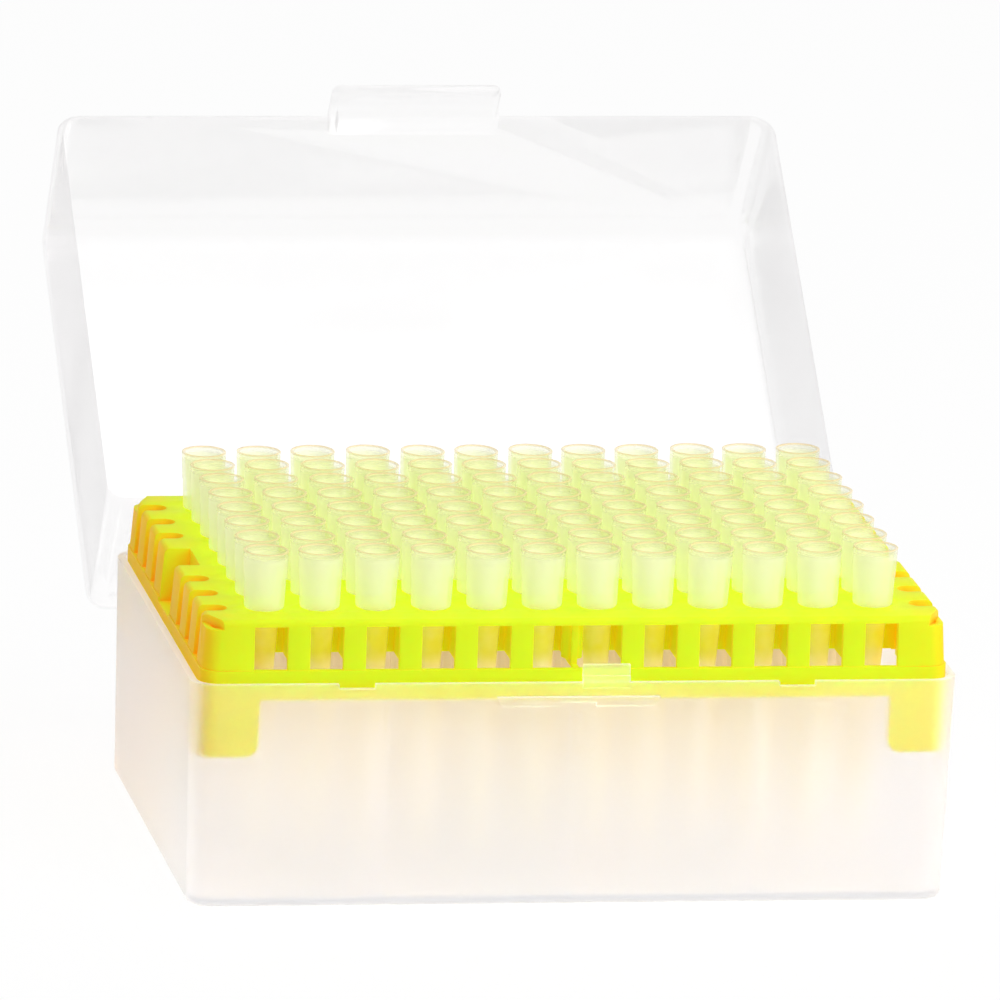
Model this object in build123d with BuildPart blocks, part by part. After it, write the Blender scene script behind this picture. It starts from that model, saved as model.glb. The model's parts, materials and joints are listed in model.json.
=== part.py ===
"""A hinged laboratory box that holds a 96-position rack of disposable pipette tips.

Millimetres, +Z up. The origin is the centre of the base's underside, X runs along the long
side, and Y from the front, where it latches, to the back, where it is hinged. The lid is
drawn shut and then swung open about its hinge, because the box is kept standing open.
"""

import os
from math import atan, cos, degrees, hypot, pi, radians, sin, tan

from build123d import *

# Tips and their grid
columns = 12  # positions along X
rows = 8  # positions along Y
pitch = 9.0  # spacing of the positions, both ways
tips_per_group = 4
tip_sides = 8  # flats round a tip and its hole, which keep 96 of each light
tip_length = 50.5
tip_stand = 9.5  # the collar's height above the deck
tip_body_radius = 2.65  # just under the collar
tip_nose_radius = 0.5
tip_wall = 0.25  # below the collar
tip_seat = 0.35  # how far the collar reaches past its hole
tip_flare = 0.5  # the collar's mouth past its foot

# Base
end_margin = 12.7  # from the outer columns to the rim's ends
side_margin = 10.8  # from the outer rows to the rim's sides
tip_floor_gap = 4.5  # under the tips' noses
base_wall = 1.2
base_floor = 1.4
base_draft = 1.05  # degrees, narrower downwards
base_corner_radius = 4.5
foot_radius = 1.2  # round the underside's edge
rim_notch_offset = 35.7
rim_notch_width = 5.9
rim_notch_depth = 0.8

# Ribs inside the base, which carry the rack's skirt
carrier_offset = 30.6
carrier_thickness = 1.2
carrier_spread = 1.6  # how much further it reaches at the floor than at the top

# Rack
rack_clearance = 0.4  # to the base's inner wall
rack_wall = 1.2
rack_rise = 10.0  # the deck's height above the base's rim
rack_band_height = 1.9  # the plain band round the rack's foot, above the rim
rack_band_ledge = 0.25
rack_draft = 4.0  # degrees, above the band
rack_edge_radius = 1.0
deck_thickness = 1.0
skirt_depth = 2.9  # below the base's rim
leg_depth = 12.3  # corner legs, below the base's rim
leg_length = 9.4  # along X
leg_width = 8.0  # along Y
leg_foot_radius = 2.0
hole_clearance = 0.25  # round a tip's body
grid_rib_thickness = 1.0
grid_rib_depth = 7.6  # below the deck
window_width = 5.4
window_head = 0.1  # below the deck
flute_radius = 1.8
flute_gap = 1.9  # from the outer holes to a flute's liner
flutes_per_side = 3  # before and after the finger recess
recess_width = 10.4
recess_gap = 2.1  # from the outer holes to the recess's liner
recess_floor = 1.3  # above the base's rim
corner_cut_length = 2.6  # along X
corner_cut_width = 5.6  # along Y
corner_step = 1.5  # the corner post's top, below the deck
corner_pocket = 3.0  # the pocket's floor, below the post's top
corner_wall = 0.9  # round the pocket
boss_radius = 1.7
boss_offset = 3.6  # past the outer rows
boss_depth = 6.5  # below the deck

# Catch and keeper on the base's front
catch_width = 26.4
catch_height = 1.5
catch_drop = 2.1  # below the rim
catch_reach = 1.0
catch_bevel = 0.9
catch_notch_width = 5.7
catch_notch_height = 0.7
keeper_offset = 4.5  # its middle, along X
keeper_width = 7.6
keeper_rise = 3.0  # above the rim
keeper_drop = 1.1  # below the rim
keeper_step = 1.3  # above the rim, where it thins
keeper_reach = 0.5  # in front of the wall
keeper_root = 0.9  # into the wall

# Lid
lid_headroom = 10.5  # over the tips
lid_inset = 0.3  # from the base's rim to the lid's, all round
lid_wall = 0.9
lid_draft = 1.2  # degrees, narrower upwards
lid_edge_radius = 2.2
lid_gap = 0.2  # between the rims when shut
lid_open_angle = 143.5
latch_margin = 1.3  # past each end of the catch
latch_wall = 1.2
latch_clearance = 0.4  # in front of the catch
latch_headroom = 1.0  # over the keeper
latch_nose_height = 0.9
latch_nose_reach = 0.3
latch_corner_radius = 1.5

# Hinge
hinge_reach = 7.5  # axis behind the base's back wall
hinge_offset = 36.0  # middle of each hinge, along X
hinge_pin_radius = 1.5
hinge_clearance = 0.35  # round the pin
hinge_knuckle_wall = 1.1
hinge_knuckle_length = 12.0
hinge_side_gap = 0.4
hinge_lug_thickness = 2.0
hinge_lug_radius = 2.6
hinge_lug_height = 7.0  # where it meets the wall
hinge_lug_drop = 0.3  # from the rim to the lug's root
hinge_mouth_width = 2.4  # of the knuckle, which springs over the pin
mouth_angle = 50.0  # of the mouth above the level with the lid shut
hinge_arm_height = 3.6  # where it meets the lid's wall
hinge_arm_lift = 1.0  # from the lid's rim to the arm
stop_height = 4.4
stop_thickness = 1.2
stop_gap = 0.15  # to the base's back wall with the lid open

# Making up: pieces overlap by this much where they are joined, and cuts run this far
joint_overlap = 0.2
through = 20.0

# The grid and the tips set the size of the box
grid_end_x = pitch * (columns - 1) / 2
grid_side_y = pitch * (rows - 1) / 2
hole_radius = tip_body_radius + hole_clearance
base_length = 2 * (grid_end_x + end_margin)
base_width = 2 * (grid_side_y + side_margin)
base_height = base_floor + tip_floor_gap + tip_length - tip_stand - rack_rise
lid_height = rack_rise + tip_stand + lid_headroom + lid_wall - lid_gap

# Levels and edges that several pieces share
rim_z = base_height
deck_z = rim_z + rack_rise
deck_under_z = deck_z - deck_thickness
skirt_z = rim_z - skirt_depth
tip_top_z = deck_z + tip_stand
front_y = -base_width / 2
back_y = base_width / 2
rack_foot_length = base_length - 2 * (base_wall + rack_clearance)
rack_foot_width = base_width - 2 * (base_wall + rack_clearance)
rack_foot_radius = base_corner_radius - base_wall - rack_clearance
band_z = rim_z + rack_band_height
deck_inset = rack_band_ledge + (deck_z - band_z) * tan(radians(rack_draft))
deck_edge_x = rack_foot_length / 2 - deck_inset
deck_edge_y = rack_foot_width / 2 - deck_inset
hinge_y = back_y + hinge_reach
hinge_z = rim_z
hinge_bore_radius = hinge_pin_radius + hinge_clearance
hinge_knuckle_radius = hinge_bore_radius + hinge_knuckle_wall
lug_offset = hinge_knuckle_length / 2 + hinge_side_gap + hinge_lug_thickness / 2


def base_inner_y(z):
    """Half the base's inside width at height z."""
    return base_width / 2 - base_wall - (rim_z - z) * tan(radians(base_draft))


def draw_corner_cuts(inset=0.0, spread=0.0):
    """Draw the deck's four cut corners, their edges moved in by inset and the cuts by spread."""
    cut_depth = corner_cut_length * corner_cut_width / hypot(corner_cut_length, corner_cut_width)
    length = corner_cut_length * (1 + spread / cut_depth)
    width = corner_cut_width * (1 + spread / cut_depth)
    corner_x = deck_edge_x - inset
    corner_y = deck_edge_y - inset
    Polygon(
        (corner_x, corner_y),
        (deck_edge_x - length * (1 - inset / width), corner_y),
        (corner_x, deck_edge_y - width * (1 - inset / length)),
        align=None,
    )
    mirror(about=Plane.YZ)
    mirror(about=Plane.XZ)


def flat_sided_cone(top_z, top_radius, foot_radius, height):
    """A cone of tip_sides flats that narrows downwards from top_z; radii are across its corners."""
    top_plane = Plane((0, 0, top_z), x_dir=(1, 0, 0), z_dir=(0, 0, -1))
    slope = degrees(atan((top_radius - foot_radius) * cos(pi / tip_sides) / height))
    with BuildPart() as cone:
        with BuildSketch(top_plane):
            RegularPolygon(top_radius, tip_sides)
        extrude(amount=height)
        draft(cone.faces().filter_by(Axis.Z, reverse=True), top_plane, slope)
    return cone.part


# ---- Base: one open moulding with the catch, the carrier ribs and the hinge lugs -------------
with BuildPart() as base_box:
    rim_plane_down = Plane((0, 0, rim_z), x_dir=(1, 0, 0), z_dir=(0, 0, -1))
    with BuildSketch(rim_plane_down):
        RectangleRounded(base_length, base_width, base_corner_radius)
    extrude(amount=base_height, taper=base_draft)
    fillet(base_box.faces().sort_by(Axis.Z)[0].edges(), foot_radius)
    with BuildSketch(rim_plane_down):
        RectangleRounded(
            base_length - 2 * base_wall,
            base_width - 2 * base_wall,
            base_corner_radius - base_wall,
        )
    extrude(amount=base_height - base_floor, taper=base_draft, mode=Mode.SUBTRACT)

    # ribs on the front and back walls carry the rack's skirt
    carrier_reach = rack_clearance + rack_wall
    carrier_top_y = base_inner_y(skirt_z)
    carrier_foot_y = base_inner_y(base_floor)
    carrier_foot_z = base_floor - joint_overlap
    for side in (-1, 1):
        for offset in (-carrier_offset, 0, carrier_offset):
            with BuildSketch(Plane.YZ.offset(offset)):
                with BuildLine():
                    Polyline(
                        (side * (carrier_top_y + base_wall / 2), skirt_z),
                        (side * (carrier_top_y - carrier_reach), skirt_z),
                        (side * (carrier_foot_y - carrier_reach - carrier_spread), carrier_foot_z),
                        (side * (carrier_foot_y + base_wall / 2), carrier_foot_z),
                        close=True,
                    )
                make_face()
            extrude(amount=carrier_thickness / 2, both=True)

    # shallow notches in the front rim
    with Locations((0, front_y, rim_z)):
        with GridLocations(2 * rim_notch_offset, 0, 2, 1):
            Box(rim_notch_width, 4 * base_wall, 2 * rim_notch_depth, mode=Mode.SUBTRACT)

    # the catch: a bar with bevelled ends and a notch under its middle
    catch_top = rim_z - catch_drop
    catch_foot = catch_top - catch_height
    with BuildSketch(Plane.XZ.offset(-front_y - base_wall / 2)):
        with BuildLine():
            Polyline(
                (-catch_width / 2, catch_top),
                (catch_width / 2, catch_top),
                (catch_width / 2 - catch_bevel, catch_foot),
                (catch_notch_width / 2, catch_foot),
                (catch_notch_width / 2, catch_foot + catch_notch_height),
                (-catch_notch_width / 2, catch_foot + catch_notch_height),
                (-catch_notch_width / 2, catch_foot),
                (-catch_width / 2 + catch_bevel, catch_foot),
                close=True,
            )
        make_face()
    extrude(amount=base_wall / 2 + catch_reach)

    # the keeper: a tab that stands up inside the shut latch, thinner above its step
    with BuildSketch(Plane.YZ.offset(keeper_offset)):
        with BuildLine():
            Polyline(
                (front_y - keeper_reach, rim_z - keeper_drop + keeper_reach),
                (front_y + keeper_root / 2, rim_z - keeper_drop),
                (front_y + keeper_root, rim_z + keeper_step),
                (front_y + keeper_root, rim_z + keeper_rise),
                (front_y, rim_z + keeper_rise),
                (front_y, rim_z + keeper_step),
                (front_y - keeper_reach, rim_z + keeper_step),
                close=True,
            )
        make_face()
    extrude(amount=keeper_width / 2, both=True)

    # two hinges: a pin held between two lugs
    lug_root_z = rim_z - hinge_lug_drop - hinge_lug_height / 2
    for hinge_x in (-hinge_offset, hinge_offset):
        for lug_x in (hinge_x - lug_offset, hinge_x + lug_offset):
            with BuildSketch(Plane.YZ.offset(lug_x)):
                with Locations((hinge_y, hinge_z)):
                    Circle(hinge_lug_radius)
                with Locations((back_y - base_wall / 2, lug_root_z)):
                    Rectangle(base_wall / 2, hinge_lug_height)
                make_hull()
            extrude(amount=hinge_lug_thickness / 2, both=True)
        with BuildSketch(Plane.YZ.offset(hinge_x)):
            with Locations((hinge_y, hinge_z)):
                Circle(hinge_pin_radius)
        extrude(amount=lug_offset, both=True)

# ---- Rack: deck, flared walls, egg-crate ribs, skirt and corner legs ------------------------
with BuildPart() as tip_rack:
    with BuildSketch(Plane.XY.offset(band_z)):
        RectangleRounded(
            rack_foot_length - 2 * rack_band_ledge,
            rack_foot_width - 2 * rack_band_ledge,
            rack_foot_radius,
        )
    extrude(amount=deck_z - band_z, taper=rack_draft)
    fillet(tip_rack.faces().sort_by(Axis.Z)[-1].edges(), rack_edge_radius)
    with BuildSketch(Plane.XY.offset(rim_z)):
        RectangleRounded(rack_foot_length, rack_foot_width, rack_foot_radius)
    extrude(amount=rack_band_height)
    with BuildSketch(rim_plane_down):
        RectangleRounded(rack_foot_length, rack_foot_width, rack_foot_radius)
    extrude(amount=leg_depth, taper=base_draft)

    # hollow from below, up to the deck
    inner_length = rack_foot_length - 2 * rack_wall
    inner_width = rack_foot_width - 2 * rack_wall
    inner_radius = rack_foot_radius - rack_wall
    with BuildSketch(Plane.XY.offset(band_z)):
        RectangleRounded(
            inner_length - 2 * rack_band_ledge, inner_width - 2 * rack_band_ledge, inner_radius
        )
    extrude(amount=deck_under_z - band_z, taper=rack_draft, mode=Mode.SUBTRACT)
    with BuildSketch(Plane.XY.offset(rim_z)):
        RectangleRounded(inner_length, inner_width, inner_radius)
    extrude(amount=rack_band_height, mode=Mode.SUBTRACT)
    with BuildSketch(rim_plane_down):
        RectangleRounded(inner_length, inner_width, inner_radius)
    extrude(amount=leg_depth, taper=base_draft, mode=Mode.SUBTRACT)

    # the skirt is cut away between the corner legs
    leg_gap_height = leg_depth - skirt_depth
    for plane, gap in (
        (Plane.XZ, rack_foot_length - 2 * leg_length),
        (Plane.YZ, rack_foot_width - 2 * leg_width),
    ):
        with BuildSketch(plane):
            with Locations((0, skirt_z - leg_gap_height / 2)):
                Rectangle(gap, leg_gap_height)
        extrude(amount=base_length, both=True, mode=Mode.SUBTRACT)
    leg_ends = tip_rack.edges().group_by(Axis.Z)[0].filter_by(GeomType.LINE)
    fillet(leg_ends.filter_by(lambda edge: edge.length < 2 * rack_wall), leg_foot_radius)

    # egg-crate ribs under the deck, between the positions
    with BuildSketch(Plane.XY.offset(deck_under_z - grid_rib_depth)):
        with GridLocations(pitch, 0, columns - 1, 1):
            Rectangle(grid_rib_thickness, 2 * deck_edge_y - rack_wall)
        with GridLocations(0, pitch, 1, rows - 1):
            Rectangle(2 * deck_edge_x - rack_wall, grid_rib_thickness)
    extrude(amount=grid_rib_depth + deck_thickness / 2)

    # a round boss near each end of the middle rib
    boss_y = grid_side_y + boss_offset
    with BuildSketch(Plane.XY.offset(deck_under_z - boss_depth)):
        with GridLocations(0, 2 * boss_y, 1, 2):
            Circle(boss_radius)
    extrude(amount=boss_depth + deck_thickness / 2)

    # windows in the long walls, one to a column, with the middle two joined
    window_height = deck_under_z - window_head - band_z
    window_inner_y = deck_edge_y - 2 * rack_wall
    for side in (-1, 1):
        with BuildSketch(Plane.XZ.offset(side * window_inner_y)):
            with Locations((0, band_z + window_height / 2)):
                with GridLocations(pitch, 0, columns, 1):
                    Rectangle(window_width, window_height)
                Rectangle(pitch, window_height)
        extrude(amount=side * through, mode=Mode.SUBTRACT)

    # liners behind the cut corners and the short walls, which the cuts then leave closed
    post_z = deck_z - corner_step
    pocket_z = post_z - corner_pocket
    with BuildSketch(Plane.XY.offset(pocket_z - rack_wall)):
        draw_corner_cuts(spread=rack_wall)
        RectangleRounded(
            2 * (deck_edge_x - joint_overlap),
            2 * (deck_edge_y - joint_overlap),
            rack_foot_radius - joint_overlap,
            mode=Mode.INTERSECT,
        )
    extrude(amount=deck_under_z - pocket_z + rack_wall)
    flute_z = band_z
    recess_z = rim_z + recess_floor
    flute_ys = [
        side * (grid_side_y - step * pitch) for side in (-1, 1) for step in range(flutes_per_side)
    ]
    for side in (-1, 1):
        liner_end_x = side * (deck_edge_x - joint_overlap)
        flute_inner_x = side * (grid_end_x + hole_radius + flute_gap + rack_wall)
        recess_inner_x = side * (grid_end_x + hole_radius + recess_gap + rack_wall)
        with BuildSketch(Plane.XY.offset(flute_z - rack_wall)):
            for y in flute_ys:
                liner_x = flute_inner_x - side * rack_wall
                with Locations(((liner_x + liner_end_x) / 2, y)):
                    Rectangle(abs(liner_end_x - liner_x), 2 * (flute_radius + rack_wall))
        extrude(amount=deck_under_z + deck_thickness / 2 - flute_z + rack_wall)
        with BuildSketch(Plane.XY.offset(recess_z - rack_wall)):
            liner_x = recess_inner_x - side * rack_wall
            with Locations(((liner_x + liner_end_x) / 2, 0)):
                Rectangle(abs(liner_end_x - liner_x), recess_width + 2 * rack_wall)
        extrude(amount=deck_under_z + deck_thickness / 2 - recess_z + rack_wall)
        with BuildSketch(Plane.XY.offset(flute_z)):
            for y in flute_ys:
                with Locations((flute_inner_x + side * through / 2, y)):
                    SlotOverall(through, 2 * flute_radius)
        extrude(amount=through, mode=Mode.SUBTRACT)
        with BuildSketch(Plane.XY.offset(recess_z)):
            with Locations((recess_inner_x + side * through / 2, 0)):
                Rectangle(through, recess_width)
        extrude(amount=through, mode=Mode.SUBTRACT)

    # the deck's corners are cut across, and a lower post with a pocket stands outside each cut
    with BuildSketch(Plane.XY.offset(pocket_z)):
        draw_corner_cuts()
        RectangleRounded(
            2 * (deck_edge_x - corner_wall),
            2 * (deck_edge_y - corner_wall),
            rack_foot_radius - corner_wall,
            mode=Mode.INTERSECT,
        )
    extrude(amount=through, mode=Mode.SUBTRACT)
    with BuildSketch(Plane.XY.offset(post_z)):
        draw_corner_cuts(inset=-rack_wall)
    extrude(amount=through, mode=Mode.SUBTRACT)

    # the tip holes
    with BuildSketch(Plane.XY.offset(deck_z)):
        with GridLocations(pitch, pitch, columns, rows):
            RegularPolygon(hole_radius, tip_sides)
    extrude(amount=-deck_thickness, mode=Mode.SUBTRACT)

# ---- Lid: a plain deep cover with the latch at the front and two open hinge knuckles ---------
lid_z = rim_z + lid_gap
latch_width = catch_width + 2 * latch_margin
latch_rise = keeper_rise - lid_gap + latch_headroom + latch_wall
latch_drop = lid_gap + catch_drop + catch_height + latch_nose_height
latch_inner_y = front_y - catch_reach - latch_clearance
latch_outer_y = latch_inner_y - latch_wall
lid_length = base_length - 2 * lid_inset
lid_width = base_width - 2 * lid_inset
lid_corner_radius = base_corner_radius - lid_inset
with BuildPart() as shut_lid:
    with BuildSketch(Plane.XY.offset(lid_z)):
        RectangleRounded(lid_length, lid_width, lid_corner_radius)
    extrude(amount=lid_height, taper=lid_draft)
    fillet(shut_lid.faces().sort_by(Axis.Z)[-1].edges(), lid_edge_radius)

    # the latch stands out from the front wall and hangs below the rim
    with BuildSketch(Plane.YZ):
        with BuildLine():
            Polyline(
                ((lid_wall - lid_width) / 2, lid_z),
                (latch_inner_y, lid_z),
                (latch_inner_y, lid_z - latch_drop + 2 * latch_nose_height),
                (latch_inner_y + latch_nose_reach, lid_z - latch_drop + latch_nose_height),
                (latch_inner_y + latch_nose_reach, lid_z - latch_drop),
                (latch_outer_y, lid_z - latch_drop),
                (latch_outer_y, lid_z + latch_rise - latch_wall),
                ((lid_wall - lid_width) / 2, lid_z + latch_rise),
                close=True,
            )
        make_face()
    extrude(amount=latch_width / 2, both=True)
    latch_feet = shut_lid.edges().filter_by(Axis.Y).group_by(Axis.Z)[0]
    fillet(latch_feet, latch_corner_radius)

    # two hinges: an arm and a knuckle round the pin, with a heel that stops the lid
    hinge_arm_z = lid_z + hinge_arm_lift + hinge_arm_height / 2
    for hinge_x in (-hinge_offset, hinge_offset):
        with BuildSketch(Plane.YZ.offset(hinge_x)):
            with Locations((hinge_y, hinge_z)):
                Circle(hinge_knuckle_radius)
            with Locations(((lid_width - lid_wall) / 2, hinge_arm_z)):
                Rectangle(lid_wall / 2, hinge_arm_height)
            make_hull()
        extrude(amount=hinge_knuckle_length / 2, both=True)
        # drawn as it stands with the lid open, flat against the base's back wall
        open_angle = radians(lid_open_angle)
        stop_plane = Plane(
            (hinge_x, hinge_y, hinge_z),
            x_dir=(0, cos(open_angle), sin(open_angle)),
            z_dir=(1, 0, 0),
        )
        with BuildSketch(stop_plane):
            Circle(hinge_knuckle_radius - joint_overlap)
            with Locations((stop_gap + stop_thickness / 2 - hinge_reach, -stop_height / 2)):
                Rectangle(stop_thickness, stop_height)
            make_hull()
        extrude(amount=hinge_knuckle_length / 2, both=True)
        with BuildSketch(Plane.YZ.offset(hinge_x)):
            with Locations((hinge_y, hinge_z)):
                Circle(hinge_bore_radius)
            with Locations(Location((hinge_y, hinge_z), mouth_angle)):
                Rectangle(through, hinge_mouth_width, align=(Align.MIN, Align.CENTER))
        extrude(amount=hinge_knuckle_length, both=True, mode=Mode.SUBTRACT)

    # hollow from below, and a pocket behind the latch for the base's keeper
    with BuildSketch(Plane.XY.offset(lid_z)):
        RectangleRounded(
            lid_length - 2 * lid_wall, lid_width - 2 * lid_wall, lid_corner_radius - lid_wall
        )
    extrude(amount=lid_height - lid_wall, taper=lid_draft, mode=Mode.SUBTRACT)
    with BuildSketch(Plane.XY.offset(lid_z)):
        with Locations((0, latch_inner_y)):
            Rectangle(
                latch_width - 2 * latch_wall,
                front_y + 2 * lid_wall - latch_inner_y,
                align=(Align.CENTER, Align.MIN),
            )
    extrude(amount=latch_rise - latch_wall, mode=Mode.SUBTRACT)
hinge_axis = Axis((0, hinge_y, hinge_z), (1, 0, 0))
lid = shut_lid.part.rotate(hinge_axis, -lid_open_angle)

# ---- Tips: a wide collar over a long hollow cone, in groups along each column ----------------
tip_collar_radius = hole_radius + tip_seat
tip_mouth_radius = tip_collar_radius + tip_flare
tip_slope = (tip_body_radius - tip_nose_radius) / (tip_length - tip_stand)
tip_bore_radius = tip_nose_radius - tip_wall
tip_socket_radius = tip_body_radius - tip_wall + tip_slope * tip_stand
tip_collar = flat_sided_cone(tip_top_z, tip_mouth_radius, tip_collar_radius, tip_stand)
tip_body = flat_sided_cone(deck_z, tip_body_radius, tip_nose_radius, tip_length - tip_stand)
tip_bore = flat_sided_cone(tip_top_z, tip_socket_radius, tip_bore_radius, tip_length)
with BuildPart() as pipette_tip:
    add(tip_collar)
    add(tip_body)
    add(tip_bore, mode=Mode.SUBTRACT)

groups_per_column = rows // tips_per_group
group_spacing = pitch * tips_per_group
tip_groups = {}
for column in range(columns):
    for group in range(groups_per_column):
        group_x = column * pitch - grid_end_x
        group_y = group_spacing * (group - (groups_per_column - 1) / 2)
        with BuildPart() as tip_group:
            with Locations((group_x, group_y)):
                with GridLocations(0, pitch, 1, tips_per_group):
                    add(pipette_tip.part)
        tip_groups[f"tips_column_{column + 1:02d}_{'ab'[group]}"] = tip_group.part

# ---- Every piece gets its name and its own file ----------------------------------------------
pieces = {"base_box": base_box.part, "tip_rack": tip_rack.part, "lid": lid, **tip_groups}
os.makedirs("parts", exist_ok=True)
for name, piece in pieces.items():
    piece.label = name
    export_step(piece, f"parts/{name}.step")
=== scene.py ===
"""A hinged laboratory box, standing open, with its yellow rack of 96 pipette tips."""

import json
import math

import bmesh
import bpy
from mathutils import Matrix, Vector


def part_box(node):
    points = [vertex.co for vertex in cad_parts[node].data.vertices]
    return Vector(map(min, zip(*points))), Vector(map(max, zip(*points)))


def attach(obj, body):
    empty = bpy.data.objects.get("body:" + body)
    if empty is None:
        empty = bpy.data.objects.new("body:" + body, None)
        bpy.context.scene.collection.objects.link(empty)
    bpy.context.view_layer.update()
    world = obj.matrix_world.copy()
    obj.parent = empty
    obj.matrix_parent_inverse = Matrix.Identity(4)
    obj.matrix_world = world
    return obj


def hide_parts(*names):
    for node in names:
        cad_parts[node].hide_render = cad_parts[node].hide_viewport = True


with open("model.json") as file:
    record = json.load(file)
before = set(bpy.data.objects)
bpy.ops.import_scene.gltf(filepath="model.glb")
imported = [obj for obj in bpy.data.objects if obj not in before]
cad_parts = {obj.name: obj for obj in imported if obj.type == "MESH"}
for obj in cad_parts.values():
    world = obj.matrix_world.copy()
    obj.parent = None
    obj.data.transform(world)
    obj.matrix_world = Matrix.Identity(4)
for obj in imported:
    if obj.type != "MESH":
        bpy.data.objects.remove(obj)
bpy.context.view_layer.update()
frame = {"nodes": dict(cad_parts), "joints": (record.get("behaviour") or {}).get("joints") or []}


# ---- The base -----------------------------------------------------------------------------------
# One moulding in natural polypropylene, whose mould was spark-eroded to a fine frost. Its walls
# are thin enough for the rack's skirt and legs, which stand close behind them, to show through.

base_edge = 0.00016
frost_relief = 0.00004
wall_clear = (0.975, 0.975, 1.0, 1)
wall_clouded = (0.975, 0.965, 0.985, 1)
wall_milk = (0.88, 0.88, 0.885, 1)
wall_milk_clouded = (0.91, 0.90, 0.91, 1)
wall_glow = (0.98, 0.95, 0.92, 1)
wall_glow_share = 0.15
wall_shade = (0.96, 0.95, 0.93, 1)
wall_lamplight = 0.85


class Signal:
    """A socket's output in a material, with operators that add the nodes they stand for."""

    def __init__(self, tree, socket):
        self.tree = tree
        self.socket = socket

    def node(self, kind, settings=None, inputs=None, output=0):
        """A new node of any kind: its settings come first, then its sockets' values or links."""
        made = self.tree.nodes.new(kind)
        for name, value in (settings or {}).items():
            setattr(made, name, value)
        for name, value in (inputs or {}).items():
            if isinstance(value, Signal):
                self.tree.links.new(value.socket, made.inputs[name])
            else:
                made.inputs[name].default_value = value
        return Signal(self.tree, made.outputs[output])

    def math(self, operation, *values):
        return self.node("ShaderNodeMath", {"operation": operation}, dict(enumerate(values)))

    def __add__(self, other):
        return self.math("ADD", self, other)

    def __radd__(self, other):
        return self.math("ADD", other, self)

    def __sub__(self, other):
        return self.math("SUBTRACT", self, other)

    def __rsub__(self, other):
        return self.math("SUBTRACT", other, self)

    def __mul__(self, other):
        return self.math("MULTIPLY", self, other)

    def __rmul__(self, other):
        return self.math("MULTIPLY", other, self)

    def band(self, low, high, to_low=0.0, to_high=1.0):
        """This value taken smoothly from low..high to to_low..to_high."""
        inputs = {
            "Value": self,
            "From Min": low,
            "From Max": high,
            "To Min": to_low,
            "To Max": to_high,
        }
        return self.node("ShaderNodeMapRange", {"interpolation_type": "SMOOTHSTEP"}, inputs)

    def mix(self, first, second):
        """The colour first where this value is 0, and second where it is 1."""
        inputs = {"Factor": self, 6: first, 7: second}
        return self.node("ShaderNodeMix", {"data_type": "RGBA"}, inputs, output=2)

    def noise(self, scale, detail=2.0):
        """Noise over these coordinates, of about scale features to the metre."""
        inputs = {"Vector": self, "Scale": scale, "Detail": detail}
        return self.node("ShaderNodeTexNoise", {}, inputs)

    def shader(self, first, second):
        """The shader first where this value is 0, and second where it is 1."""
        return self.node("ShaderNodeMixShader", {}, {0: self, 1: first, 2: second})

    def part(self, axis):
        """One number of this vector: 0 along X, 1 along Y, 2 along Z."""
        return self.node("ShaderNodeSeparateXYZ", {}, {"Vector": self}, output=axis)

    def bump(self, height, strength):
        """A surface raised by up to height metres where this value is 1."""
        inputs = {"Height": self, "Distance": height, "Strength": strength}
        return self.node("ShaderNodeBump", {}, inputs)


def plastic(name):
    """A new material without a shader, and its Object coordinates."""
    material = bpy.data.materials.new(name)
    material.use_nodes = True
    tree = material.node_tree
    tree.nodes.clear()
    return material, Signal(tree, tree.nodes.new("ShaderNodeTexCoord").outputs["Object"])


def coat_with(material, shader):
    """The material gets the shader as its surface."""
    output = material.node_tree.nodes.new("ShaderNodeOutputMaterial")
    material.node_tree.links.new(shader.socket, output.inputs["Surface"])


def lit_through(shader, share, tint):
    """The shader, except that a share of a lamp's light passes it, tinted, to what is behind."""
    shadow_ray = shader.node("ShaderNodeLightPath", output=1)
    shade = shader.node("ShaderNodeBsdfTransparent", {}, {"Color": tint})
    return (shadow_ray * share).shader(shader, shade)


def moulded(node, name, edge):
    """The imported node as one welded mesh, whose sharp edges the mould has rounded by edge."""
    weld_gap = 0.000002
    flat_enough = math.radians(0.4)
    corner = math.radians(32)
    mesh = frame["nodes"][node].data.copy()
    mesh.name = name
    mesh.materials.clear()
    shell = bmesh.new()
    shell.from_mesh(mesh)
    bmesh.ops.remove_doubles(shell, verts=shell.verts, dist=weld_gap)
    bmesh.ops.dissolve_limit(
        shell, angle_limit=flat_enough, verts=shell.verts, edges=shell.edges
    )
    sharp = [e for e in shell.edges if e.is_manifold and e.calc_face_angle(0) > corner]
    bmesh.ops.bevel(
        shell,
        geom=sharp,
        offset=edge,
        offset_type="OFFSET",
        segments=2,
        profile=0.6,
        affect="EDGES",
        clamp_overlap=True,
    )
    for face in shell.faces:
        face.smooth = True
    shell.to_mesh(mesh)
    shell.free()
    for attribute in ("custom_normal", "sharp_face"):
        if attribute in mesh.attributes:
            mesh.attributes.remove(mesh.attributes[attribute])
    mesh.set_sharp_from_angle(angle=math.radians(50))
    piece = bpy.data.objects.new(name, mesh)
    bpy.context.scene.collection.objects.link(piece)
    return piece


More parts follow.
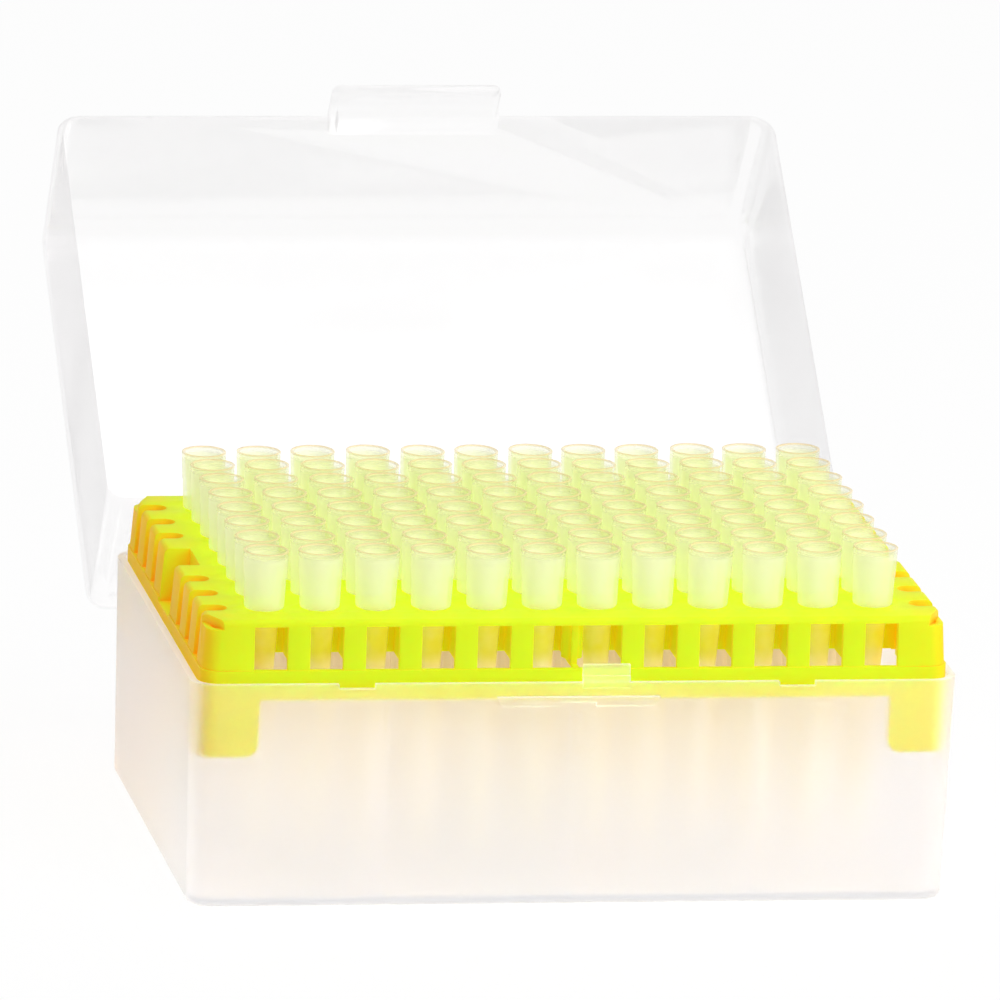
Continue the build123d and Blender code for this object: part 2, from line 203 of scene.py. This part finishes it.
frosted, places = plastic("frosted_polypropylene")
cloud = places.noise(38, 3).band(0.3, 0.7)
grain = places.noise(5200)
fleck = places.noise(900)
frost = (grain + fleck * 0.6).bump(frost_relief, 0.35)
wall = places.node(
    "ShaderNodeBsdfPrincipled",
    {},
    {
        "Base Color": cloud.mix(wall_clear, wall_clouded),
        "Roughness": 0.60 + cloud * 0.06,
        "Transmission Weight": 1.0,
        "IOR": 1.36,
        "Normal": frost,
    },
)
milk = places.node(
    "ShaderNodeBsdfPrincipled",
    {},
    {
        "Base Color": cloud.mix(wall_milk, wall_milk_clouded),
        "Roughness": 0.5,
        "Normal": frost,
    },
)
through = places.node("ShaderNodeBsdfTranslucent", {}, {"Color": wall_glow})
milky = places.node("ShaderNodeMixShader", {}, {0: wall_glow_share, 1: milk, 2: through})
# along the wall light has further to go in it, and more of it is scattered
along_wall = places.node("ShaderNodeLayerWeight", {}, {"Blend": 0.5}, output=1)
scattered = 0.04 + cloud * 0.02 + along_wall.band(0.5, 1.0, 0.0, 0.6)
coat_with(frosted, lit_through(scattered.shader(wall, milky), wall_lamplight, wall_shade))

base = moulded("base_box", "frosted_base", base_edge)
base.data.materials.append(frosted)
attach(base, "base")
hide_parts("base_box")


# ---- The rack -----------------------------------------------------------------------------------
# One moulding in bright yellow polypropylene, dropped into the base on its skirt and corner legs.
# The plastic lets light in a little way and glows faintly orange; the deeper orange of its fluted
# ends and sheltered corners is painted shade.

rack_edge = 0.00022
rack_relief = 0.00003
lemon = (0.50, 1.0, 0.022, 1)
lemon_mottled = (0.54, 0.99, 0.022, 1)
gold = (0.93, 0.86, 0.02, 1)
orange = (1.0, 0.50, 0.015, 1)
apricot = (0.98, 0.66, 0.015, 1)
olive = (0.64, 0.66, 0.012, 1)
rack_glow = (1.0, 0.68, 0.02, 1)
rack_glow_share = 0.22
rack_shade = (1.0, 0.84, 0.3, 1)
rack_lamplight = 0.9
corner_reach = 0.007
end_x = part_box("tip_rack")[1].x
flutes_back = end_x - 0.0065
flutes_mouth = end_x - 0.0045
rim_z = frame["joints"][0]["pos_m"][2]  # the lid turns at the height of the base's rim
sunk_z = rim_z - 0.002
clear_z = rim_z + 0.001

yellow, places = plastic("yellow_polypropylene")
mottle = places.noise(60, 3).band(0.3, 0.7)
grain = places.noise(2600)
across = places.part(0)
short_end = across.math("ABSOLUTE", across).band(flutes_back, flutes_mouth)
# painted shade: the side faces at both fluted ends are painted apricot, for the shade that falls
# on the rack's ends
endways = places.node("ShaderNodeNewGeometry", output=1).part(0)
painted_end_shade = short_end * endways.math("ABSOLUTE", endways)
# painted shade: below the base's rim the skirt and legs are painted olive, for the dimmer light
# inside the base
painted_shade_below_rim = places.part(2).band(sunk_z, clear_z, 1.0, 0.0)
upper = (painted_end_shade * 0.7).mix((mottle * 0.3).mix(lemon, lemon_mottled), apricot)
in_the_open = (painted_shade_below_rim * 0.8).mix(upper, olive)
# painted shade: where the ambient occlusion finds the rack closed in, its colour is painted gold,
# and orange at the fluted ends
painted_corner_shade = short_end.mix(gold, orange)
openness = places.node(
    "ShaderNodeAmbientOcclusion",
    {"samples": 8, "only_local": True},
    {"Distance": corner_reach},
    output=1,
)
body = places.node(
    "ShaderNodeBsdfPrincipled",
    {},
    {
        "Base Color": openness.band(0.3, 0.92).mix(painted_corner_shade, in_the_open),
        "Specular IOR Level": 0.1,
        "Roughness": 0.44 + mottle * 0.08,
        "IOR": 1.49,
        "Subsurface Weight": 0.6,
        "Subsurface Radius": (0.008, 0.002, 0.0004),
        "Subsurface Scale": 1.0,
        "Normal": grain.bump(rack_relief, 0.25),
    },
)
glow = places.node("ShaderNodeBsdfTranslucent", {}, {"Color": rack_glow})
glowing = places.node("ShaderNodeMixShader", {}, {0: rack_glow_share, 1: body, 2: glow})
coat_with(yellow, lit_through(glowing, rack_lamplight, rack_shade))

rack = moulded("tip_rack", "yellow_rack", rack_edge)
rack.data.materials.append(yellow)
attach(rack, "base")
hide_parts("tip_rack")


# ---- The tips -----------------------------------------------------------------------------------
# Ninety-six tips in natural polypropylene, thin and nearly clear. Each hangs by its collar in a
# hole of the deck, a little loose, so no two lean alike. A shoulder steps out below the mouth.

columns = 12
rows = 8
tip_sides = 28
tip_relief = 0.00002
largest_lean = math.radians(1.3)
largest_lift = 0.00012
lean_room = 0.0001
tip_low, tip_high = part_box("tips_column_01_a")
far_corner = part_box("tips_column_12_b")[1]
deck_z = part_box("tip_rack")[1].z
pitch = (far_corner.x - tip_high.x) / (columns - 1)
grid_middle = ((tip_low.x + far_corner.x) / 2, (tip_low.y + far_corner.y) / 2, deck_z)

# the turned shape: each point has a radius and a height above the deck
mouth = tip_high.z - deck_z
nose = tip_low.z - deck_z
slim_end = nose + 0.0125
shoulder = 0.0047
mouth_radius = (tip_high.x - tip_low.x) / 2 - lean_room
outside = (
    (0.00042, nose),
    (0.00050, nose + 0.0002),
    (0.00118, slim_end),
    (0.00235, -0.0005),
    (0.00262, 0.0),
    (0.00300, 0.00002),
    (0.00316, 0.00016),
    (0.00322, 0.00045),
    (0.00332, 0.0030),
    (0.00337, shoulder),
    (0.00346, shoulder + 0.0003),
    (mouth_radius - 0.00004, mouth - 0.00030),
    (mouth_radius, mouth - 0.00012),
    (mouth_radius - 0.00014, mouth),
)
bore = (
    (mouth_radius - 0.00040, mouth - 0.00005),
    (mouth_radius - 0.00052, mouth - 0.00030),
    (0.00290, shoulder + 0.0005),
    (0.00272, shoulder),
    (0.00252, 0.0),
    (0.00092, slim_end),
    (0.00026, nose + 0.0001),
)

tip_mesh = bpy.data.meshes.new("tip")
turned = bmesh.new()
along = turned.verts.layers.float.new("along")
rings = []
for radius, level in outside + bore:
    ring = []
    for side in range(tip_sides):
        angle = 2 * math.pi * side / tip_sides
        point = turned.verts.new((radius * math.cos(angle), radius * math.sin(angle), level))
        point[along] = level
        ring.append(point)
    rings.append(ring)
for ring, above in zip(rings, rings[1:] + rings[:1]):
    for side in range(tip_sides):
        beside = (side + 1) % tip_sides
        turned.faces.new((ring[side], ring[beside], above[beside], above[side]))
for face in turned.faces:
    face.smooth = True
bmesh.ops.recalc_face_normals(turned, faces=turned.faces)
turned.to_mesh(tip_mesh)
turned.free()
tip_mesh.set_sharp_from_angle(angle=math.radians(55))

# light from the yellow rack colours a tip: pale lime above the deck, yellow in the rack itself,
# and hardly at all further down, where the tip hangs in the white base
pale_lime = (0.97, 1.0, 0.70, 1)
rack_yellow = (0.98, 0.98, 0.16, 1)
ivory = (1.0, 0.965, 0.92, 1)
clouded = (0.985, 0.99, 0.78, 1)
painted_lip_light = (0.91, 0.64, 0.36, 1)
lime_glow = (0.98, 1.0, 0.76, 1)
clear_wall = (0.995, 0.99, 0.95, 1)
amber_wall = (0.95, 0.82, 0.62, 1)
skin_share = 0.8

natural, places = plastic("natural_polypropylene")
cloud = places.noise(220).band(0.3, 0.7)
grain = places.noise(4200)
height = places.node("ShaderNodeAttribute", {"attribute_name": "along"}, output=2)
thin_mouth = height.band(mouth - 0.0014, mouth - 0.0005)
lip = height.band(mouth - 0.0004, mouth - 0.0001)
in_rack = height.band(-0.0012, -0.0002, 1.0, 0.0)
in_base = height.band(-0.011, -0.007, 1.0, 0.0)
clear = places.node("ShaderNodeBsdfTransparent", {}, {"Color": clear_wall})
amber = places.node("ShaderNodeBsdfTransparent", {}, {"Color": amber_wall})
facing = places.node("ShaderNodeLayerWeight", {}, {"Blend": 0.3}, output=1)
see_through = facing.band(0.55, 1.0, 0.0, 0.5).shader(clear, amber)
glow_above = places.node("ShaderNodeBsdfTranslucent", {}, {"Color": lime_glow})
glow_in_rack = places.node("ShaderNodeBsdfTranslucent", {}, {"Color": rack_yellow})
glow_in_base = places.node("ShaderNodeBsdfTranslucent", {}, {"Color": ivory})
glow = in_rack.shader(glow_above, in_base.shader(glow_in_rack, glow_in_base))
tint = in_base.mix(in_rack.mix(pale_lime, rack_yellow), ivory)
# painted light: the lip is painted amber, for the yellow light refracted in its rounded rim
skin = places.node(
    "ShaderNodeBsdfPrincipled",
    {},
    {
        "Base Color": lip.mix((cloud * 0.6).mix(tint, clouded), painted_lip_light),
        "Roughness": 0.3,
        "Normal": grain.bump(tip_relief, 0.2),
    },
)
haze = places.node("ShaderNodeMixShader", {}, {0: skin_share, 1: glow, 2: skin})
# the wall is clearest where it thins to the mouth, and milkiest at the lip's cut edge
hazy = 0.38 - thin_mouth * 0.26 + lip * 0.4 + in_rack * 0.06 + in_base * 0.18
coat_with(natural, hazy.shader(see_through, haze))

# the tree that sets one tip out on the grid, turned at random and with a small lean and lift
tree = bpy.data.node_groups.new("tip_grid", "GeometryNodeTree")
tree.is_modifier = True
tree.interface.new_socket(name="Tip", in_out="INPUT", socket_type="NodeSocketGeometry")
grid_inputs = {
    "Columns": ("NodeSocketInt", columns),
    "Rows": ("NodeSocketInt", rows),
    "Pitch": ("NodeSocketFloat", pitch),
    "Middle": ("NodeSocketVector", grid_middle),
    "Lean": ("NodeSocketFloat", largest_lean),
    "Lift": ("NodeSocketFloat", largest_lift),
    "Seed": ("NodeSocketInt", 7),
    "Plastic": ("NodeSocketMaterial", natural),
}
identifiers = {}
for name, (kind, _) in grid_inputs.items():
    socket = tree.interface.new_socket(name=name, in_out="INPUT", socket_type=kind)
    identifiers[name] = socket.identifier
tree.interface.new_socket(name="Tips", in_out="OUTPUT", socket_type="NodeSocketGeometry")
given = tree.nodes.new("NodeGroupInput").outputs


def tree_node(kind, settings=None, inputs=None):
    """A node of the tree: its settings come first, then its sockets' values or links."""
    made = tree.nodes.new(kind)
    for name, value in (settings or {}).items():
        setattr(made, name, value)
    for name, value in (inputs or {}).items():
        if isinstance(value, bpy.types.NodeSocket):
            tree.links.new(value, made.inputs[name])
        else:
            made.inputs[name].default_value = value
    return made.outputs


def number(operation, first, second):
    """The result of one operation on two numbers."""
    return tree_node("ShaderNodeMath", {"operation": operation}, {0: first, 1: second})[0]


def side_of_grid(count):
    """The length of the grid's side that has this many positions."""
    return number("MULTIPLY", number("SUBTRACT", given[count], 1.0), given["Pitch"])


grid = tree_node(
    "GeometryNodeMeshGrid",
    {},
    {
        "Size X": side_of_grid("Columns"),
        "Size Y": side_of_grid("Rows"),
        "Vertices X": given["Columns"],
        "Vertices Y": given["Rows"],
    },
)["Mesh"]
tilt = number("MULTIPLY", given["Lean"], -1.0)
least = tree_node("ShaderNodeCombineXYZ", {}, {0: tilt, 1: tilt, 2: -math.pi})[0]
most = tree_node("ShaderNodeCombineXYZ", {}, {0: given["Lean"], 1: given["Lean"], 2: math.pi})[0]
lean = tree_node(
    "FunctionNodeRandomValue",
    {"data_type": "FLOAT_VECTOR"},
    {"Min": least, "Max": most, "Seed": given["Seed"]},
)["Value"]
lift = tree_node(
    "FunctionNodeRandomValue",
    {"data_type": "FLOAT"},
    {2: 0.0, 3: given["Lift"], "Seed": number("ADD", given["Seed"], 1.0)},
)[1]
raised = tree_node("ShaderNodeCombineXYZ", {}, {2: lift})[0]
offset = tree_node(
    "ShaderNodeVectorMath", {"operation": "ADD"}, {0: given["Middle"], 1: raised}
)[0]
placed = tree_node("GeometryNodeSetPosition", {}, {"Geometry": grid, "Offset": offset})[0]
tips_set = tree_node(
    "GeometryNodeInstanceOnPoints",
    {},
    {"Points": placed, "Instance": given["Tip"], "Rotation": lean},
)[0]
whole = tree_node("GeometryNodeRealizeInstances", {}, {"Geometry": tips_set})[0]
finished = tree_node(
    "GeometryNodeSetMaterial", {}, {"Geometry": whole, "Material": given["Plastic"]}
)[0]
tree.links.new(finished, tree.nodes.new("NodeGroupOutput").inputs[0])

pattern = bpy.data.objects.new("tip_pattern", tip_mesh)
bpy.context.scene.collection.objects.link(pattern)
setter = pattern.modifiers.new("tip_grid", "NODES")
setter.node_group = tree
for name, (_, value) in grid_inputs.items():
    setter[identifiers[name]] = value
shown = pattern.evaluated_get(bpy.context.evaluated_depsgraph_get())
tips = bpy.data.objects.new("pipette_tips", bpy.data.meshes.new_from_object(shown))
bpy.context.scene.collection.objects.link(tips)
pattern.modifiers.remove(setter)
bpy.data.objects.remove(pattern)
tips.visible_shadow = False  # lamplight reaches the deck between and through the thin walls
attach(tips, "base")
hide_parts(*[name for name in frame["nodes"] if name.startswith("tips_column")])


# ---- The lid ------------------------------------------------------------------------------------
# One clear moulding, polished inside and out, that swings on two pins at the back of the base.
# It is so thin and clean that little but its rim and corners shows against a white ground.

lid_edge = 0.0002
film_across = (0.992, 0.99, 0.99, 1)
film_along = (0.955, 0.94, 0.945, 1)

clear_plastic, places = plastic("clear_plastic")
handled = places.noise(26, 3).band(0.35, 0.75)
film = places.node("ShaderNodeBsdfTransparent", {}, {"Color": film_across})
film_edge = places.node("ShaderNodeBsdfTransparent", {}, {"Color": film_along})
facing = places.node("ShaderNodeLayerWeight", {}, {"Blend": 0.3}, output=1)
polish = places.node(
    "ShaderNodeBsdfGlossy", {}, {"Color": (1, 1, 1, 1), "Roughness": 0.06 + handled * 0.05}
)
mirrored = places.node("ShaderNodeFresnel", {}, {"IOR": 1.3}) * 0.6
coat_with(clear_plastic, mirrored.shader(facing.band(0.5, 1.0).shader(film, film_edge), polish))

lid = moulded("lid", "clear_lid", lid_edge)
lid.data.materials.append(clear_plastic)
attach(lid, "lid")
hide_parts("lid")


# ---- The stand, the light and the camera --------------------------------------------------------
# A plain white sheet under a white surround, one broad lamp from the front right and a softer
# one overhead.

reach = 30.0
sheet_white = (0.93, 0.93, 0.93, 1)
plain_white_share = 0.93
surround_light = 0.42
box_middle = Vector((0, 0, 0.04))

floor_mesh = bpy.data.meshes.new("floor")
corners = [(x * reach, y * reach, 0.0) for x, y in ((-1, -1), (1, -1), (1, 1), (-1, 1))]
floor_mesh.from_pydata(corners, [], [(0, 1, 2, 3)])
floor = bpy.data.objects.new("floor", floor_mesh)
bpy.context.scene.collection.objects.link(floor)


def looked_at(places):
    """1 for a ray from the camera, also by way of gloss or glass, and 0 for one of lamplight."""
    camera_ray = places.node("ShaderNodeLightPath", output=0)
    glossy_ray = places.node("ShaderNodeLightPath", output=3)
    glass_ray = places.node("ShaderNodeLightPath", output=6)
    return places.math("MAXIMUM", places.math("MAXIMUM", camera_ray, glossy_ray), glass_ray)


sheet, places = plastic("white_sheet")
matt = places.node("ShaderNodeBsdfDiffuse", {}, {"Color": sheet_white})
white = places.node("ShaderNodeEmission", {}, {"Color": (1, 1, 1, 1), "Strength": 1.0})
coat_with(sheet, (looked_at(places) * plain_white_share).shader(matt, white))
floor_mesh.materials.append(sheet)

world = bpy.data.worlds.new("white_surround")
bpy.context.scene.world = world
world.use_nodes = True
world.node_tree.nodes.clear()
sky = Signal(world.node_tree, None)
surround = sky.node(
    "ShaderNodeBackground",
    {},
    {
        "Color": (1, 1, 1, 1),
        "Strength": surround_light + looked_at(sky) * (1 - surround_light),
    },
)
made = world.node_tree.nodes.new("ShaderNodeOutputWorld")
world.node_tree.links.new(surround.socket, made.inputs["Surface"])


def lamp(name, place, width, power, colour):
    """A square lamp of that width in metres and power in watts, turned to the box."""
    light = bpy.data.lights.new(name, "AREA")
    light.shape = "SQUARE"
    light.size = width
    light.energy = power
    light.color = colour
    lamp_stand = bpy.data.objects.new(name, light)
    lamp_stand.location = place
    towards_box = box_middle - Vector(place)
    lamp_stand.rotation_euler = towards_box.to_track_quat("-Z", "Y").to_euler()
    bpy.context.scene.collection.objects.link(lamp_stand)


lamp("key", place=(0.75, -0.85, 0.75), width=0.7, power=10.0, colour=(1.0, 0.985, 0.965))
lamp("overhead", place=(0.1, -0.1, 1.1), width=0.9, power=5.0, colour=(1.0, 1.0, 1.0))

# the camera stands well back, a little to the left of the box's front and above it
azimuth = math.radians(-10.714)
elevation = math.radians(14.386)
roll = math.radians(2.417)
distance = 2.218
aim = Vector((-0.00603, 0.0, 0.05612))
back = Vector(
    (
        math.sin(azimuth) * math.cos(elevation),
        -math.cos(azimuth) * math.cos(elevation),
        math.sin(elevation),
    )
)
level_right = Vector((math.cos(azimuth), math.sin(azimuth), 0.0))
level_up = back.cross(level_right)
right = math.cos(roll) * level_right + math.sin(roll) * level_up
up = back.cross(right)
camera_data = bpy.data.cameras.new("camera")
camera_data.sensor_width = 36.0
camera_data.lens = 493.3
camera_data.clip_end = 100.0
camera = bpy.data.objects.new("camera", camera_data)
turn = Matrix((right, up, back)).transposed().to_4x4()
camera.matrix_world = Matrix.Translation(aim + back * distance) @ turn
bpy.context.scene.collection.objects.link(camera)
bpy.context.scene.camera = camera
bpy.context.scene.view_settings.view_transform = "Standard"
